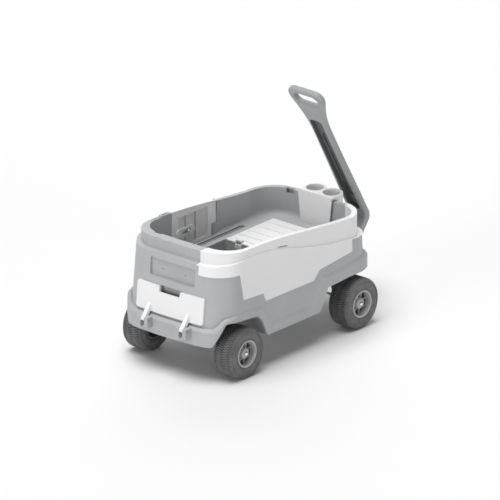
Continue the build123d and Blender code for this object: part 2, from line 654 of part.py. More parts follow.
with BuildPart() as lid_hinge_pins:
    for side in (-1, 1):
        with BuildSketch(Plane.XZ.offset(-side * LID_HINGE_Y)):
            with Locations((LID_PIN_X, LID_PIN_Z)):
                Circle(LID_PIN_R)
        extrude(amount=BRACKET_HALF, both=True)
save(lid_hinge_pins, "lid_hinge_pins")

# ---- running gear under the body ----------------------------------------------------------------------
AXLE_R, AXLE_HALF = 6.0, 306.0
LEG_IN_Y, LEG_OUT_Y = 160.0, 190.0
TYRE_R, TYRE_IN_Y, TYRE_OUT_Y, SHOULDER_R = 115.0, 205.0, 314.0, 22.0
RIM_R, HUB_R, HUB_IN_Y, HUB_OUT_Y = 61.5, 24.0, 213.0, 302.0
BUSH_R, BUSH_LENGTH, RUN_GAP = 10.0, 25.0, 0.05
RIM_FACE_Y, SPOKES = 296.0, 8


def wheel_plane(x, side):
    """Sketch plane for turned parts: first coordinate outwards along the axle, second the radius."""
    return Plane((x, 0, AXLE_Z), x_dir=(0, side, 0), z_dir=(side, 0, 0))


def axle_line(x):
    """The axle's centre line."""
    return Axis((x, 0, AXLE_Z), (0, 1, 0))


def tube_pair(x, z, outer, bore, y_low, y_high):
    """The same short tube on both sides."""
    with BuildPart() as pair:
        for low, high in ((y_low, y_high), (-y_high, -y_low)):
            add(rod(x, z, outer, low, high))
        add(rod(x, z, bore, -400, 400), mode=Mode.SUBTRACT)
    return pair.part


def axle_caps(x):
    """Domed push-on caps on both ends of an axle."""
    with BuildPart() as caps:
        for side in (-1, 1):
            with BuildSketch(wheel_plane(x, side)):
                with BuildLine():
                    Polyline((HUB_OUT_Y + 0.4, 0), (312, 0))
                    ThreePointArc((312, 0), (310.2, 6), (HUB_OUT_Y + 4, 10))
                    Polyline((HUB_OUT_Y + 4, 10), (HUB_OUT_Y + 0.4, 10), (HUB_OUT_Y + 0.4, 0))
                make_face()
            revolve(axis=axle_line(x))
        add(rod(x, AXLE_Z, AXLE_R, -AXLE_HALF, AXLE_HALF), mode=Mode.SUBTRACT)
    return caps.part


with BuildPart() as rear_axle:
    add(rod(REAR_X, AXLE_Z, AXLE_R, -AXLE_HALF, AXLE_HALF))
save(rear_axle, "rear_axle")

with BuildPart() as front_axle:
    add(rod(FRONT_X, AXLE_Z, AXLE_R, -AXLE_HALF, AXLE_HALF))
save(front_axle, "front_axle")

for end, x in (("rear", REAR_X), ("front", FRONT_X)):
    with BuildPart() as spacers:
        add(tube_pair(x, AXLE_Z, 9, AXLE_R, LEG_OUT_Y, HUB_IN_Y - 0.4))
    save(spacers, end + "_axle_spacers")
    with BuildPart() as caps:
        add(axle_caps(x))
    save(caps, end + "_axle_caps")

# rear hangers follow the sloping underside of the pan
with BuildPart() as rear_axle_brackets:
    for side in (-1, 1):
        with BuildSketch(Plane.XZ.offset(-side * (LEG_IN_Y + LEG_OUT_Y) / 2)):
            with BuildLine():
                Polyline((MID - 450, 272.5), (MID - 320, 261.1), (MID - 320, 250), (REAR_X + 22, AXLE_Z),
                         (REAR_X - 22, AXLE_Z), (MID - 450, 258), close=True)
            make_face()
            with Locations((REAR_X, AXLE_Z)):
                Circle(22)
        extrude(amount=(LEG_OUT_Y - LEG_IN_Y) / 2, both=True)
    add(rod(REAR_X, AXLE_Z, AXLE_R, -400, 400), mode=Mode.SUBTRACT)
save(rear_axle_brackets, "rear_axle_brackets")

# ---- steering: fixed bolster, kingpin, turning carrier with its tongue ------------------------------------
PIVOT_X, PIVOT_Z, PIVOT_R = MID + 575, 140.0, 6.0
TONGUE_HALF = 30.0


with BuildPart() as steering_bolster:
    add(box_between((FRONT_X - 55, -95, BOLSTER_LOW_Z), (FRONT_X + 55, 95, BOLSTER_TOP_Z)))
    fillet(steering_bolster.edges().filter_by(Axis.Z), 12)
    add(disc(FRONT_X, 0, KING_R, 100, 300), mode=Mode.SUBTRACT)
    add(bolster_bolts(SCREW_R, BOLSTER_LOW_Z, BOLSTER_TOP_Z), mode=Mode.SUBTRACT)
save(steering_bolster, "steering_bolster")

with BuildPart() as thrust_washer:
    add(disc(FRONT_X, 0, 40, CARRIER_TOP_Z + 0.4, BOLSTER_LOW_Z))
    add(disc(FRONT_X, 0, KING_R, 100, 300), mode=Mode.SUBTRACT)
save(thrust_washer, "thrust_washer")

with BuildPart() as kingpin:
    add(disc(FRONT_X, 0, KING_HEAD_R, CARRIER_LOW_Z - 10, CARRIER_LOW_Z - 0.5))
    add(disc(FRONT_X, 0, KING_R, CARRIER_LOW_Z - 5, 280))
    chamfer(kingpin.edges().group_by(Axis.Z)[0], 2)
save(kingpin, "kingpin")

with BuildPart() as kingpin_nut:
    with BuildSketch(Plane.XY.offset(263.2)):
        with Locations((FRONT_X, 0)):
            RegularPolygon(14, 6)
            Circle(KING_R, mode=Mode.SUBTRACT)
    extrude(amount=12)
save(kingpin_nut, "kingpin_nut")

with BuildPart() as steering_carrier:
    add(box_between((FRONT_X - 40, -LEG_OUT_Y, CARRIER_LOW_Z), (FRONT_X + 40, LEG_OUT_Y, CARRIER_TOP_Z)))
    for side in (-1, 1):
        with BuildSketch(Plane.XZ.offset(-side * (LEG_IN_Y + LEG_OUT_Y) / 2)):
            with BuildLine():
                Polyline((FRONT_X - 40, CARRIER_TOP_Z), (FRONT_X + 40, CARRIER_TOP_Z), (FRONT_X + 22, AXLE_Z),
                         (FRONT_X - 22, AXLE_Z), close=True)
            make_face()
            with Locations((FRONT_X, AXLE_Z)):
                Circle(22)
        extrude(amount=(LEG_OUT_Y - LEG_IN_Y) / 2, both=True)
    # tongue runs forward and down to the handle's pivot
    with BuildSketch(Plane.XZ):
        with BuildLine():
            Polyline((FRONT_X + 20, CARRIER_TOP_Z), (FRONT_X + 70, CARRIER_TOP_Z),
                     (PIVOT_X + 8, PIVOT_Z + 18), (PIVOT_X - 8, PIVOT_Z - 18),
                     (FRONT_X + 70, CARRIER_LOW_Z - 22),
                     (FRONT_X + 20, CARRIER_LOW_Z), close=True)
        make_face()
        with Locations((PIVOT_X, PIVOT_Z)):
            Circle(20)
    extrude(amount=TONGUE_HALF, both=True)
    add(disc(FRONT_X, 0, KING_R + RUN_GAP, 100, 300), mode=Mode.SUBTRACT)
    add(rod(FRONT_X, AXLE_Z, AXLE_R, -400, 400), mode=Mode.SUBTRACT)
    add(rod(PIVOT_X, PIVOT_Z, PIVOT_R, -400, 400), mode=Mode.SUBTRACT)
save(steering_carrier, "steering_carrier")

# ---- chassis screws: bolster and rear hangers to the pan --------------------------------------------------
with BuildPart() as bolster_screws:
    add(bolster_bolts(SCREW_HEAD_R, BOLSTER_LOW_Z - SCREW_HEAD, BOLSTER_LOW_Z))
    add(bolster_bolts(SCREW_R, BOLSTER_LOW_Z, 262))
save(bolster_screws, "bolster_screws")

# ---- handle: bent channel with a grip loop --------------------------------------------------------
HANDLE_HALF, HANDLE_DEPTH, LOOP_HALF = 52.0, 30.0, 96.0
LOWER_LEAN, UPPER_LEAN = 36.9, 28.7  # degrees from upright, forwards then backwards
LOWER_LENGTH, UPPER_LENGTH = 270.9, 785.4
LOOP_HOLE = (132.0, 58.0)
GRIP_BAR, LOOP_CORNER, ELBOW_BEND, HANDLE_ROUND = 26.0, 38.0, 45.0, 10.0
EYE_R = 20.0
# half-width against the distance up the upper arm
FLARE = [(HANDLE_HALF, 0), (49, 300), (47, 500), (52, 590), (66, 650), (85, 703), (LOOP_HALF, 745)]
RECESS = (47.0, 603.0, 68.0, 20.0)  # from, to along the upper arm, width, depth
SLOT = (114.0, 500.0, 34.0, 25.0)

pivot = Vector(PIVOT_X, 0, PIVOT_Z)
lower_way = Vector(0, 0, 1).rotate(Axis.Y, LOWER_LEAN)
upper_way = Vector(0, 0, 1).rotate(Axis.Y, -UPPER_LEAN)
lower_face = Vector(1, 0, 0).rotate(Axis.Y, LOWER_LEAN)
upper_face = Vector(1, 0, 0).rotate(Axis.Y, -UPPER_LEAN)
elbow = pivot + lower_way * LOWER_LENGTH
top = elbow + upper_way * UPPER_LENGTH
half_depth = HANDLE_DEPTH / 2
miter = (lower_face + upper_face) * (half_depth / (1 + lower_face.dot(upper_face)))
ARM_FACE = Plane(origin=elbow, x_dir=(0, 1, 0), z_dir=upper_face)


def side_points(*vectors):
    """Side-view coordinates of points in the middle plane."""
    return [(v.X, v.Z) for v in vectors]


with BuildPart() as handle:
    with BuildSketch(Plane.XZ) as side_view:
        with BuildLine():
            Polyline(*side_points(pivot + lower_face * half_depth, elbow + miter,
                                  top + upper_face * half_depth, top - upper_face * half_depth,
                                  elbow - miter, pivot - lower_face * half_depth), close=True)
        make_face()
        fillet(side_view.vertices().sort_by_distance((elbow.X, elbow.Z, 0))[:2], ELBOW_BEND)
    extrude(amount=LOOP_HALF + 1, both=True)
    with BuildSketch(ARM_FACE) as front_view:
        with BuildLine():
            right = Spline(*FLARE, tangents=((0, 1), (0, 1)))
            left = Spline(*[(-y, along) for y, along in FLARE], tangents=((0, 1), (0, 1)))
            Polyline(right @ 1, (LOOP_HALF, UPPER_LENGTH), (-LOOP_HALF, UPPER_LENGTH), left @ 1)
            Polyline(right @ 0, (HANDLE_HALF, -500), (-HANDLE_HALF, -500), left @ 0)
        make_face()
        fillet(front_view.vertices().group_by(Axis.Y)[-1], LOOP_CORNER)
        with Locations((0, UPPER_LENGTH - GRIP_BAR - LOOP_HOLE[1] / 2)):
            SlotOverall(*LOOP_HOLE, mode=Mode.SUBTRACT)
    extrude(amount=300, both=True, mode=Mode.INTERSECT)
    # every outer edge is rounded, apart from the seams across the elbow
    across = handle.edges().filter_by(Axis.Y)
    loop_bars = across.filter_by_position(Axis.Z, top.Z - 60, top.Z + 60)
    fillet(handle.edges().filter_by(Axis.Y, reverse=True) + loop_bars, HANDLE_ROUND)
    # eye round the pivot
    add(rod(PIVOT_X, PIVOT_Z, EYE_R, -HANDLE_HALF, HANDLE_HALF))
    # channel in the rear face of the upper arm
    for low, high, width, depth in (RECESS, SLOT):
        with BuildSketch(ARM_FACE.offset(-half_depth)):
            with Locations((0, (low + high) / 2)):
                RectangleRounded(width, high - low, width / 4)
        extrude(amount=depth, mode=Mode.SUBTRACT)
    # fork straddles the tongue
    add(box_between((PIVOT_X - 40, -TONGUE_HALF - 0.5, 100), (PIVOT_X + 60, TONGUE_HALF + 0.5, PIVOT_Z + 34)),
        mode=Mode.SUBTRACT)
    add(rod(PIVOT_X, PIVOT_Z, PIVOT_R + RUN_GAP, -400, 400), mode=Mode.SUBTRACT)
save(handle, "handle")

with BuildPart() as handle_pivot_pin:
    add(rod(PIVOT_X, PIVOT_Z, PIVOT_R, -HANDLE_HALF - 4, HANDLE_HALF + 12))
    add(rod(PIVOT_X, PIVOT_Z, 10, -HANDLE_HALF - 7, -HANDLE_HALF - 0.4))
save(handle_pivot_pin, "handle_pivot_pin")

with BuildPart() as handle_pivot_nut:
    with BuildSketch(Plane.XZ.offset(-HANDLE_HALF - 0.4)):
        with Locations((PIVOT_X, PIVOT_Z)):
            RegularPolygon(10, 6)
            Circle(PIVOT_R, mode=Mode.SUBTRACT)
    extrude(amount=-9)
save(handle_pivot_nut, "handle_pivot_nut")

# ---- wheels -----------------------------------------------------------------------------------------------
WHEELS = {"rear_left": (REAR_X, 1), "rear_right": (REAR_X, -1), "front_left": (FRONT_X, 1),
          "front_right": (FRONT_X, -1)}

for name, (x, side) in WHEELS.items():
    with BuildPart() as tyre:
        with BuildSketch(wheel_plane(x, side)) as section:
            with BuildLine():
                Polyline((TYRE_IN_Y + 6, RIM_R), (TYRE_IN_Y, 76), (TYRE_IN_Y, TYRE_R), (TYRE_OUT_Y, TYRE_R),
                         (TYRE_OUT_Y, 76), (RIM_FACE_Y + 4, RIM_R), (RIM_FACE_Y - 8, RIM_R),
                         (RIM_FACE_Y - 6, 84), (RIM_FACE_Y - 10, 98), (TYRE_IN_Y + 24, 98),
                         (TYRE_IN_Y + 20, 84), (TYRE_IN_Y + 20, RIM_R), close=True)
            make_face()
            fillet(section.vertices().group_by(Axis.Y)[-1], SHOULDER_R)
        revolve(axis=axle_line(x))
    save(tyre, "tyre_" + name)

    with BuildPart() as rim:
        with BuildSketch(wheel_plane(x, side)):
            with BuildLine():
                Polyline((TYRE_IN_Y + 7, RIM_R - 0.1), (RIM_FACE_Y, RIM_R - 0.1), (RIM_FACE_Y, 46),
                         (RIM_FACE_Y - 6, 46), (RIM_FACE_Y - 6, HUB_R), (HUB_OUT_Y, HUB_R - 2),
                         (HUB_OUT_Y, BUSH_R), (HUB_IN_Y, BUSH_R), (HUB_IN_Y, HUB_R), (RIM_FACE_Y - 14, HUB_R),
                         (RIM_FACE_Y - 14, 56), (TYRE_IN_Y + 7, 56), close=True)
            make_face()
        revolve(axis=axle_line(x))
        with BuildSketch(Plane((x, 0, AXLE_Z), x_dir=(1, 0, 0), z_dir=(0, side, 0)).offset(RIM_FACE_Y - 30)):
            with PolarLocations(35.5, SPOKES):
                RectangleRounded(18, 13, 4)
        extrude(amount=60, mode=Mode.SUBTRACT)
    save(rim, "rim_" + name)

    with BuildPart() as bushings:
        with BuildSketch(wheel_plane(x, side)):
            for low in (HUB_IN_Y, HUB_OUT_Y - BUSH_LENGTH):
                with Locations((low + BUSH_LENGTH / 2, (BUSH_R + AXLE_R + RUN_GAP) / 2)):
                    Rectangle(BUSH_LENGTH, BUSH_R - AXLE_R - RUN_GAP)
        revolve(axis=axle_line(x))
    save(bushings, "bushings_" + name)
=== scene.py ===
import json
import math

import bmesh
import bpy
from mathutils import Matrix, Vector


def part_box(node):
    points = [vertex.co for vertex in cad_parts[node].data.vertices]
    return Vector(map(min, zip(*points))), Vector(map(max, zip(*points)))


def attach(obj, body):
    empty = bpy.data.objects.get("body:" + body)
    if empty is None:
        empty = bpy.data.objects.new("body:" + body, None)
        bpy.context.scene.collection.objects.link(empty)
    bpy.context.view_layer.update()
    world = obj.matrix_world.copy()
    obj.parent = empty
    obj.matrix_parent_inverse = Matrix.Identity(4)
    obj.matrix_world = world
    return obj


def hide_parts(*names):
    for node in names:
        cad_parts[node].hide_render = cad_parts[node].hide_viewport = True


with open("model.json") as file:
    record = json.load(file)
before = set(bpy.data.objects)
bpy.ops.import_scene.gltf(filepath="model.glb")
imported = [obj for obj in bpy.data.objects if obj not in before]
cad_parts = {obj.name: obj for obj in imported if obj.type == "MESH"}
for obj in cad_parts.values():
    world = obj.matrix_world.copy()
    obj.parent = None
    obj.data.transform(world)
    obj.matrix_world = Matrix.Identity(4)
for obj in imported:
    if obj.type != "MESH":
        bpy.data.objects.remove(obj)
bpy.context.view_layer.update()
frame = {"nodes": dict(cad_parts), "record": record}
NODES = frame["nodes"]

# Lengths are in metres. Angles in tables and arguments are in degrees unless a comment says otherwise.
MID = -0.0735  # X of the middle of the wheelbase
AXLE_HEIGHT = 0.115


# ---- materials ------------------------------------------------------------------------------------
WHEEL_CENTRE = (MID, 0.0, AXLE_HEIGHT)  # middle between the four wheels
WHEEL_OFFSET = (0.3865, 0.2595, 0.0)  # from there to the middle of one tyre
# Painted groove shade fades out between these two radii; the sidewalls, further than SIDEWALL_ACROSS from a
# tyre's middle, get none.
GROOVE_RADIUS, LUG_RADIUS, SIDEWALL_ACROSS = 0.1110, 0.1140, 0.0430
NOISE_LOW, NOISE_HIGH = 0.3, 0.7  # the part of a noise texture's range that is used


def new_material(name):
    """Empty node material: returns it with its tree, shader and object-space coordinates."""
    material = bpy.data.materials.new(name)
    material.use_nodes = True
    tree = material.node_tree
    shader = tree.nodes["Principled BSDF"]
    where = tree.nodes.new("ShaderNodeTexCoord").outputs["Object"]
    return material, tree, shader, where


def noise_node(tree, where, scale, detail):
    """Noise texture of a given scale."""
    texture = tree.nodes.new("ShaderNodeTexNoise")
    texture.inputs["Scale"].default_value = scale
    texture.inputs["Detail"].default_value = detail
    texture.inputs["Roughness"].default_value = 0.55
    tree.links.new(where, texture.inputs["Vector"])
    return texture.outputs["Fac"]


def remap(tree, value, low, high):
    """Map a noise value to the range low to high."""
    node = tree.nodes.new("ShaderNodeMapRange")
    node.inputs["From Min"].default_value = NOISE_LOW
    node.inputs["From Max"].default_value = NOISE_HIGH
    node.inputs["To Min"].default_value = low
    node.inputs["To Max"].default_value = high
    tree.links.new(value, node.inputs["Value"])
    return node.outputs["Result"]


def tint(tree, value, dark, light):
    """Blend two colours by a noise value."""
    ramp = tree.nodes.new("ShaderNodeValToRGB")
    ends = ((NOISE_LOW, dark), (NOISE_HIGH, light))
    for element, (position, colour) in zip(ramp.color_ramp.elements, ends):
        element.position = position
        element.color = (*colour, 1)
    tree.links.new(value, ramp.inputs["Fac"])
    return ramp.outputs["Color"]


def bump(tree, shader, height, strength, distance):
    """Surface relief from a height value."""
    node = tree.nodes.new("ShaderNodeBump")
    node.inputs["Strength"].default_value = strength
    node.inputs["Distance"].default_value = distance
    tree.links.new(height, node.inputs["Height"])
    tree.links.new(node.outputs["Normal"], shader.inputs["Normal"])


def math_node(tree, operation, first, second):
    """One arithmetic step between two values or outputs."""
    node = tree.nodes.new("ShaderNodeMath")
    node.operation = operation
    for socket, value in zip(node.inputs, (first, second)):
        if isinstance(value, (int, float)):
            socket.default_value = value
        else:
            tree.links.new(value, socket)
    return node.outputs["Value"]


def inside_box(tree, where, centre, half, lean):
    """1 inside a box that leans about Y by an angle in degrees, 0 outside."""
    shift = tree.nodes.new("ShaderNodeVectorMath")
    shift.operation = "SUBTRACT"
    shift.inputs[1].default_value = centre
    tree.links.new(where, shift.inputs[0])
    turn = tree.nodes.new("ShaderNodeVectorRotate")
    turn.rotation_type = "Y_AXIS"
    turn.inputs["Angle"].default_value = math.radians(lean)
    tree.links.new(shift.outputs["Vector"], turn.inputs["Vector"])
    size = tree.nodes.new("ShaderNodeVectorMath")
    size.operation = "ABSOLUTE"
    tree.links.new(turn.outputs["Vector"], size.inputs[0])
    axes = tree.nodes.new("ShaderNodeSeparateXYZ")
    tree.links.new(size.outputs["Vector"], axes.inputs["Vector"])
    inside = 1.0
    for output, limit in zip(axes.outputs, half):
        inside = math_node(tree, "MULTIPLY", math_node(tree, "LESS_THAN", output, limit), inside)
    return inside


def shaded_zones(tree, where, colour, zones):
    """Multiply a colour inside boxes given as (centre, half sizes, lean, factor)."""
    for centre, half, lean, factor in zones:
        mix = tree.nodes.new("ShaderNodeMix")
        mix.data_type = "RGBA"
        mix.blend_type = "MULTIPLY"
        tree.links.new(inside_box(tree, where, centre, half, lean), mix.inputs["Factor"])
        tree.links.new(colour, mix.inputs["A"])
        mix.inputs["B"].default_value = (factor, factor, factor, 1)
        colour = mix.outputs["Result"]
    return colour


def moulded_plastic(name, grey, spread=0.03, rough=(0.42, 0.55), grain=900.0, zones=()):
    """Satin moulded plastic: fine grain, faint flow marks, uneven gloss and zones that multiply the colour,
    painting shade where the factor is below 1.
    """
    material, tree, shader, where = new_material(name)
    flow = noise_node(tree, where, 7.0, 4.0)
    dark = tuple(c * (1 - spread) for c in grey)
    light = tuple(min(1.0, c * (1 + spread)) for c in grey)
    colour = shaded_zones(tree, where, tint(tree, flow, dark, light), zones)
    tree.links.new(colour, shader.inputs["Base Color"])
    gloss = noise_node(tree, where, 45.0, 3.0)
    tree.links.new(remap(tree, gloss, *rough), shader.inputs["Roughness"])
    bump(tree, shader, noise_node(tree, where, grain, 2.0), 0.12, 0.0006)
    shader.inputs["Specular IOR Level"].default_value = 0.4
    return material


def groove_shade_mask(tree, where):
    """Mask of the painted shade in the tread grooves: 0 in the bottom of the grooves, 1 on the lugs and the
    sidewalls, for all four wheels.
    """
    vector = where
    steps = (("SUBTRACT", WHEEL_CENTRE), ("ABSOLUTE", None), ("SUBTRACT", WHEEL_OFFSET), ("ABSOLUTE", None))
    for operation, operand in steps:
        node = tree.nodes.new("ShaderNodeVectorMath")
        node.operation = operation
        tree.links.new(vector, node.inputs[0])
        if operand:
            node.inputs[1].default_value = operand
        vector = node.outputs["Vector"]
    axes = tree.nodes.new("ShaderNodeSeparateXYZ")
    tree.links.new(vector, axes.inputs["Vector"])
    square_x = math_node(tree, "MULTIPLY", axes.outputs["X"], axes.outputs["X"])
    square_z = math_node(tree, "MULTIPLY", axes.outputs["Z"], axes.outputs["Z"])
    radius = math_node(tree, "SQRT", math_node(tree, "ADD", square_x, square_z), 0.0)
    height = tree.nodes.new("ShaderNodeMapRange")
    height.inputs["From Min"].default_value = GROOVE_RADIUS
    height.inputs["From Max"].default_value = LUG_RADIUS
    tree.links.new(radius, height.inputs["Value"])
    sidewall = math_node(tree, "GREATER_THAN", axes.outputs["Y"], SIDEWALL_ACROSS)
    return math_node(tree, "MAXIMUM", height.outputs["Result"], sidewall)


def rubber(name, grey):
    """Matt tyre compound with dusty patches, a fine grain and painted shade in the tread grooves."""
    material, tree, shader, where = new_material(name)
    dust = noise_node(tree, where, 28.0, 5.0)
    dark = tuple(c * 0.8 for c in grey)
    light = tuple(c * 1.25 for c in grey)
    # Painted shade: the groove bottoms take the rubber's grey times 0.42, the lugs and sidewalls the dusty
    # tint.
    mix = tree.nodes.new("ShaderNodeMix")
    mix.data_type = "RGBA"
    tree.links.new(groove_shade_mask(tree, where), mix.inputs["Factor"])
    tree.links.new(tint(tree, dust, dark, light), mix.inputs["B"])
    mix.inputs["A"].default_value = (*(c * 0.42 for c in grey), 1)
    tree.links.new(mix.outputs["Result"], shader.inputs["Base Color"])
    tree.links.new(remap(tree, dust, 0.62, 0.8), shader.inputs["Roughness"])
    bump(tree, shader, noise_node(tree, where, 1100.0, 2.0), 0.2, 0.0006)
    shader.inputs["Specular IOR Level"].default_value = 0.3
    return material


def metal(name, colour, rough, brushed):
    """Plated or bright metal, with drawn marks when brushed is above zero."""
    material, tree, shader, where = new_material(name)
    stretch = tree.nodes.new("ShaderNodeMapping")
    stretch.inputs["Scale"].default_value = (1.0, 0.04, 1.0)
    tree.links.new(where, stretch.inputs["Vector"])
    marks = noise_node(tree, stretch.outputs["Vector"], 700.0, 2.0)
    dark = tuple(c * 0.9 for c in colour)
    tree.links.new(tint(tree, marks, dark, colour), shader.inputs["Base Color"])
    tree.links.new(remap(tree, marks, rough * 0.8, rough * 1.2), shader.inputs["Roughness"])
    bump(tree, shader, marks, brushed, 0.0003)
    shader.inputs["Metallic"].default_value = 1.0
    return material


HANDLE_LEAN = 28.7  # of the handle's upper arm from upright
ELBOW = Vector((0.6642, 0.0, 0.3566))
LEAN_SIN, LEAN_COS = math.sin(math.radians(HANDLE_LEAN)), math.cos(math.radians(HANDLE_LEAN))
ARM_WAY = Vector((-LEAN_SIN, 0, LEAN_COS))
ARM_FACE = Vector((LEAN_COS, 0, LEAN_SIN))


def arm_shade_zone(along, half_width, depth, factor):
    """Zone of painted shade in the handle's channel: (from, to) up the arm, half-width, (from, to) through
    its depth.
    """
    centre = ELBOW + ARM_WAY * (along[0] + along[1]) / 2 + ARM_FACE * (depth[0] + depth[1]) / 2
    half = ((depth[1] - depth[0]) / 2, half_width, (along[1] - along[0]) / 2)
    return centre, half, HANDLE_LEAN, factor


# Zones are (centre, half sizes, lean, factor); a factor below 1 paints shade into the zone.
HANDLE_PAINTED_SHADE = (
    arm_shade_zone((0.046, 0.604), 0.0343, (-0.0142, 0.0065), 0.42),  # painted shade in the channel
    arm_shade_zone((0.113, 0.501), 0.0174, (0.0040, 0.0110), 0.45),  # painted shade in the slot in the channel
)
LID_GROOVE_SHADE = (
    ((0.1275, 0.0, 0.4040), (0.1300, 0.166, 0.0020), 0.0, 0.55),  # painted shade on the floors of the lid's grooves
)
DOOR_PAINTED_SHADE = (
    ((-0.1540, 0.2625, 0.4720), (0.0970, 0.0100, 0.0675), 0.0, 0.95),  # painted shade on the boards
    ((-0.2035, 0.2650, 0.4720), (0.0034, 0.0080, 0.0670), 0.0, 0.55),  # painted shade in the rear gap between boards
    ((-0.1365, 0.2650, 0.4720), (0.0034, 0.0080, 0.0670), 0.0, 0.55),  # painted shade in the front gap between boards
    ((-0.1540, 0.2575, 0.4720), (0.0985, 0.0060, 0.0690), 0.0, 0.88),  # painted shade in the recess that holds the boards
)
RIM_PAINTED_SHADE = (
    ((0.0, 0.0, AXLE_HEIGHT), (1.0, 0.2825, 0.1), 0.0, 0.42),  # painted shade in the depth of the rims, behind the spokes
)
BODY_ZONES = (
    ((-0.1235, 0.230, 0.3860), (0.2810, 0.0122, 0.0044), 0.0, 0.68),  # painted shade in the left drain channel
    ((-0.1235, -0.230, 0.3860), (0.2810, 0.0122, 0.0044), 0.0, 0.68),  # painted shade in the right drain channel
    ((0.3215, -0.2150, 0.5300), (0.0650, 0.0500, 0.0750), 0.0, 1.85),  # pale patch, front right corner
)

MATERIALS = {
    "body_grey": moulded_plastic("body_grey_plastic", (0.41, 0.415, 0.425), zones=BODY_ZONES),
    "panel_white": moulded_plastic(
        "panel_white_plastic", (0.79, 0.79, 0.79), 0.012, (0.36, 0.48), zones=LID_GROOVE_SHADE + DOOR_PAINTED_SHADE),
    "handle_grey": moulded_plastic("handle_grey_plastic", (0.33, 0.335, 0.34), zones=HANDLE_PAINTED_SHADE),
    "chassis_grey": moulded_plastic("chassis_grey_plastic", (0.10, 0.10, 0.105), 0.05, (0.5, 0.65), 600.0),
    "steel": metal("zinc_plated_steel", (0.62, 0.62, 0.64), 0.32, 0.15),
    "chrome": metal("bright_chrome", (0.86, 0.86, 0.87), 0.08, 0.03),
    "tyre": rubber("tyre_rubber", (0.145, 0.145, 0.147)),
    "rim_grey": moulded_plastic("rim_grey_plastic", (0.46, 0.464, 0.47), 0.04, zones=RIM_PAINTED_SHADE),
    "bushing_nylon": moulded_plastic("nylon_bushing", (0.72, 0.71, 0.66), 0.03, (0.35, 0.45)),
}


def finish_piece(piece, slot_name, body=None):
    """Give a piece the material named by a slot, and a body when one is named."""
    piece.data.materials.clear()
    piece.data.materials.append(MATERIALS[slot_name])
    if body:
        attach(piece, body)


def soften(piece, width):
    """Round a moulding's edges with a bevel that keeps its flat faces flat."""
    bevel = piece.modifiers.new("edge_radius", "BEVEL")
    bevel.width = width
    bevel.segments = 3
    bevel.limit_method = "ANGLE"
    bevel.angle_limit = math.radians(32)
    bevel.harden_normals = True
    bevel.miter_outer = "MITER_ARC"


for entry in frame["record"]["subparts"]:
    finish_piece(NODES[entry["node"]], entry["material_slot"])

EDGE_RADII = {
    "body_shell": 0.003,
    "side_panel_right": 0.0015,
    "rear_hatch": 0.002,
    "side_door": 0.0015,
    "cup_holder": 0.002,
    "handle": 0.0015,
    "seat_lid": 0.0012,
}
for node_name, radius in EDGE_RADII.items():
    soften(NODES[node_name], radius)


# ---- mesh helpers ---------------------------------------------------------------------------------
def new_object(name, vertices, faces, smooth=True):
    """Mesh object from points and faces, with outward normals."""
    mesh = bpy.data.meshes.new(name)
    mesh.from_pydata(vertices, [], faces)
    shape = bmesh.new()
    shape.from_mesh(mesh)
    bmesh.ops.remove_doubles(shape, verts=shape.verts, dist=1e-6)
    bmesh.ops.recalc_face_normals(shape, faces=shape.faces)
    shape.to_mesh(mesh)
    shape.free()
    mesh.polygons.foreach_set("use_smooth", [smooth] * len(mesh.polygons))
    piece = bpy.data.objects.new(name, mesh)
    bpy.context.scene.collection.objects.link(piece)
    return piece


def grid_faces(rows, columns, wrap_rows, wrap_columns):
    """Quads joining a grid of points, closed in either direction."""
    faces = []
    for i in range(rows if wrap_rows else rows - 1):
        for j in range(columns if wrap_columns else columns - 1):
            a, b = i * columns + j, i * columns + (j + 1) % columns
            c, d = ((i + 1) % rows) * columns + (j + 1) % columns, ((i + 1) % rows) * columns + j
            faces.append((a, b, c, d))
    return faces


def smooth_step(low, high, value):
    """0 below low, 1 above high, an easy slope between."""
    t = min(1.0, max(0.0, (value - low) / (high - low)))
    return t * t * (3 - 2 * t)


def bake_cut(piece, *cutters):
    """Cut closed pieces out of a piece and keep only the result."""
    for cutter in cutters:
        cut = piece.modifiers.new("cut", "BOOLEAN")
        cut.operation = "DIFFERENCE"
        cut.solver = "EXACT"
        cut.object = cutter
    bpy.context.view_layer.update()
    evaluated = piece.evaluated_get(bpy.context.evaluated_depsgraph_get())
    result = bpy.data.meshes.new_from_object(evaluated)
    piece.modifiers.clear()
    piece.data = result
    for cutter in cutters:
        bpy.data.objects.remove(cutter)


def side_prism(name, outline, y_low, y_high, bevel=0.0):
    """Solid with a side-view outline, between two widths, with rounded edges."""
    count = len(outline)
    vertices = [(x, y, z) for y in (y_low, y_high) for x, z in outline]
    faces = [tuple(range(count)), tuple(range(2 * count - 1, count - 1, -1))]
    faces += [(i, (i + 1) % count, (i + 1) % count + count, i + count) for i in range(count)]
    piece = new_object(name, vertices, faces, False)
    if bevel:
        shape = bmesh.new()
        shape.from_mesh(piece.data)
        bmesh.ops.bevel(shape, geom=shape.edges[:], offset=bevel, segments=3, profile=0.5,
                        affect="EDGES", clamp_overlap=True)
        shape.to_mesh(piece.data)
        shape.free()
    return piece


def merge(pieces, name):
    """Join pieces that lie in the shared frame into one mesh object."""
    shape = bmesh.new()
    for piece in pieces:
        shape.from_mesh(piece.data)
        bpy.data.objects.remove(piece)
    mesh = bpy.data.meshes.new(name)
    shape.to_mesh(mesh)
    shape.free()
    joined = bpy.data.objects.new(name, mesh)
    bpy.context.scene.collection.objects.link(joined)
    return joined


def shade_by_angle(piece, degrees):
    """Smooth shading that breaks at sharp edges."""
    piece.data.polygons.foreach_set("use_smooth", [True] * len(piece.data.polygons))
    edges = piece.modifiers.new("shade_edges", "EDGE_SPLIT")
    edges.split_angle = math.radians(degrees)


